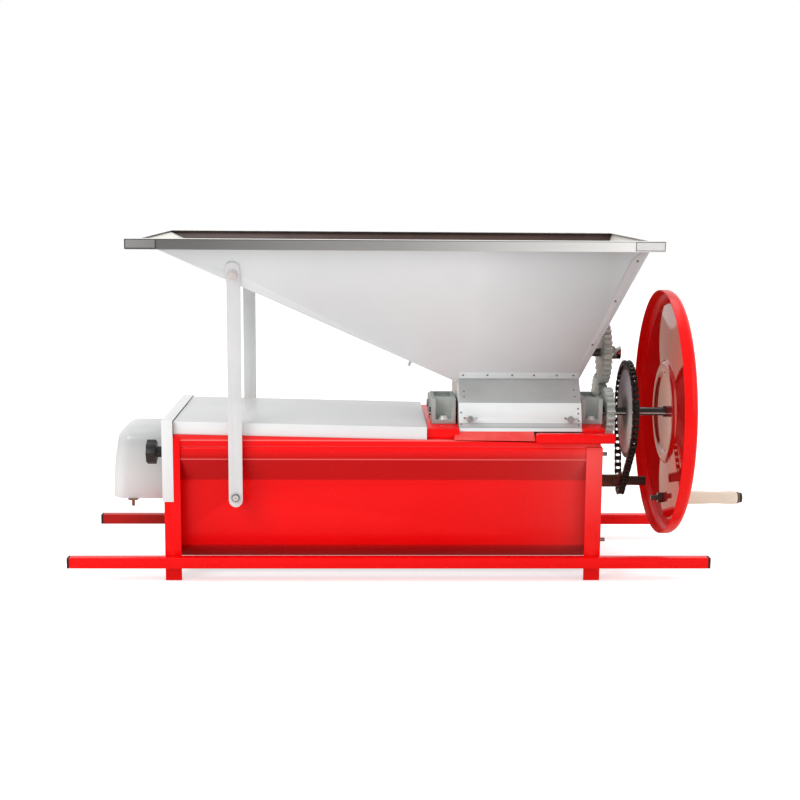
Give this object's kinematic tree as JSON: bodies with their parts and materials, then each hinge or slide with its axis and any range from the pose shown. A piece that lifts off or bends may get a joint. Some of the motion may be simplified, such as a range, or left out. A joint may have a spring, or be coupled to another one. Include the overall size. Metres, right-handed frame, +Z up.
{
  "type": "grape crusher destemmer",
  "caption": "Hand cranked grape crusher destemmer: steel hopper over fluted rollers, red body with a paddle drum, chain drive and a dished flywheel with a wooden grip.",
  "frame": {"origin": "middle of the footprint on the floor under the leg ends", "axes": "+X along the body and the shafts, from the stem hood to the flywheel and its grip; +Y from the front to the back; +Z up"},
  "size_m": [1.2754, 0.5002, 0.6316],
  "materials": {
    "red_paint": "gloss",
    "white_paint": "satin",
    "hopper_grey": "satin",
    "satin_steel": "satin",
    "bright_steel": "gloss",
    "cast_grey": "matte",
    "gear_grey": "matte",
    "dark_steel": "satin",
    "bronze": "satin",
    "black_plastic": "matte",
    "pale_wood": "satin"
  },
  "bodies": {
    "machine_body": {"bar_plug_back_left": "black_plastic", "bar_plug_back_right": "black_plastic", "bar_plug_front_left": "black_plastic", "bar_plug_front_right": "black_plastic", "bearing_block_left": "cast_grey", "bearing_block_right": "cast_grey", "carry_bar_back": "red_paint", "carry_bar_front": "red_paint", "cross_rail_left": "red_paint", "cross_rail_right": "red_paint", "crusher_cover_back": "hopper_grey", "crusher_cover_front": "hopper_grey", "crusher_end_left": "hopper_grey", "crusher_end_right": "hopper_grey", "deck_plate": "red_paint", "destemmer_screen": "satin_steel", "drive_chain": "dark_steel", "end_plate_left": "red_paint", "end_plate_right": "red_paint", "hopper_back": "hopper_grey", "hopper_front": "hopper_grey", "hopper_left": "hopper_grey", "hopper_right": "hopper_grey", "hopper_rim": "satin_steel", "ledge_bar": "red_paint", "leg_back_left": "red_paint", "leg_back_right": "red_paint", "leg_front_left": "red_paint", "leg_front_right": "red_paint", "side_panel_back": "red_paint", "side_panel_front": "red_paint", "strap_back": "white_paint", "strap_bolt_back": "bright_steel", "strap_bolt_front": "bright_steel", "strap_front": "white_paint", "strap_standoff_back": "bright_steel", "strap_standoff_front": "bright_steel"},
    "crank": {"front_roller": "gear_grey", "front_gear": "gear_grey", "big_sprocket": "dark_steel", "flywheel": "red_paint", "wheel_nut": "dark_steel", "crank_spindle": "dark_steel"},
    "grip": {"crank_grip": "pale_wood"},
    "rear_roller_set": {"rear_roller": "gear_grey", "rear_gear": "gear_grey"},
    "auger_set": {"auger": "dark_steel", "auger_gear": "gear_grey"},
    "destemming_set": {"destemmer_shaft": "dark_steel", "small_sprocket": "dark_steel"},
    "lid": {"top_lid": "white_paint"},
    "hood": {"stem_hood": "white_paint", "hood_flange": "white_paint", "hood_stud": "bronze"},
    "knob_front": {"hood_knob_front": "black_plastic"},
    "knob_back": {"hood_knob_back": "black_plastic"},
    "wing_front_left": {"wing_nut_front_left": "bright_steel"},
    "wing_front_right": {"wing_nut_front_right": "bright_steel"},
    "wing_back_left": {"wing_nut_back_left": "bright_steel"},
    "wing_back_right": {"wing_nut_back_right": "bright_steel"}
  },
  "joints": [
    {"name": "crank_turn", "type": "hinge", "parent": "machine_body", "child": "crank", "pos_m": [0.3721, -0.01725, 0.3007], "axis": [1, 0, 0], "continuous": true},
    {"name": "rear_roller_turn", "type": "hinge", "parent": "machine_body", "child": "rear_roller_set", "pos_m": [0.3721, 0.08075, 0.3007], "axis": [1, 0, 0], "continuous": true},
    {"name": "auger_turn", "type": "hinge", "parent": "machine_body", "child": "auger_set", "pos_m": [0.3721, 0.04458, 0.4067], "axis": [1, 0, 0], "continuous": true},
    {"name": "destemming_shaft_turn", "type": "hinge", "parent": "machine_body", "child": "destemming_set", "pos_m": [0.40855, 0.02505, 0.15595], "axis": [1, 0, 0], "continuous": true},
    {"name": "grip_spin", "type": "hinge", "parent": "crank", "child": "grip", "pos_m": [0.63335, -0.01725, 0.1318], "axis": [1, 0, 0], "continuous": true},
    {"name": "lid_lift", "type": "slide", "parent": "machine_body", "child": "lid", "axis": [0, 0, 1], "range_m": [0, 0.06]},
    {"name": "hood_pull", "type": "slide", "parent": "machine_body", "child": "hood", "axis": [-1, 0, 0], "range_m": [0, 0.1]},
    {"name": "knob_front_turn", "type": "hinge", "parent": "hood", "child": "knob_front", "pos_m": [-0.47015, -0.10005, 0.236], "axis": [1, 0, 0], "continuous": true},
    {"name": "wing_front_left_turn", "type": "hinge", "parent": "machine_body", "child": "wing_front_left", "pos_m": [0.10235, -0.09829, 0.2975], "axis": [0, -0.9394, 0.3428], "continuous": true},
    {"name": "wing_front_right_turn", "type": "hinge", "parent": "machine_body", "child": "wing_front_right", "pos_m": [0.28885, -0.09829, 0.2975], "axis": [0, -0.9394, 0.3428], "continuous": true},
    {"name": "knob_back_turn", "type": "hinge", "parent": "hood", "child": "knob_back", "pos_m": [-0.47015, 0.15015, 0.236], "axis": [1, 0, 0], "continuous": true},
    {"name": "wing_back_left_turn", "type": "hinge", "parent": "machine_body", "child": "wing_back_left", "pos_m": [0.10235, 0.14839, 0.2975], "axis": [0, 0.9394, 0.3428], "continuous": true},
    {"name": "wing_back_right_turn", "type": "hinge", "parent": "machine_body", "child": "wing_back_right", "pos_m": [0.28885, 0.14839, 0.2975], "axis": [0, 0.9394, 0.3428], "continuous": true}
  ],
  "couplings": [
    {"joint": "rear_roller_turn", "follows": "crank_turn", "ratio": -0.75},
    {"joint": "auger_turn", "follows": "crank_turn", "ratio": 0.75},
    {"joint": "destemming_shaft_turn", "follows": "crank_turn", "ratio": 4.1818}
  ]
}
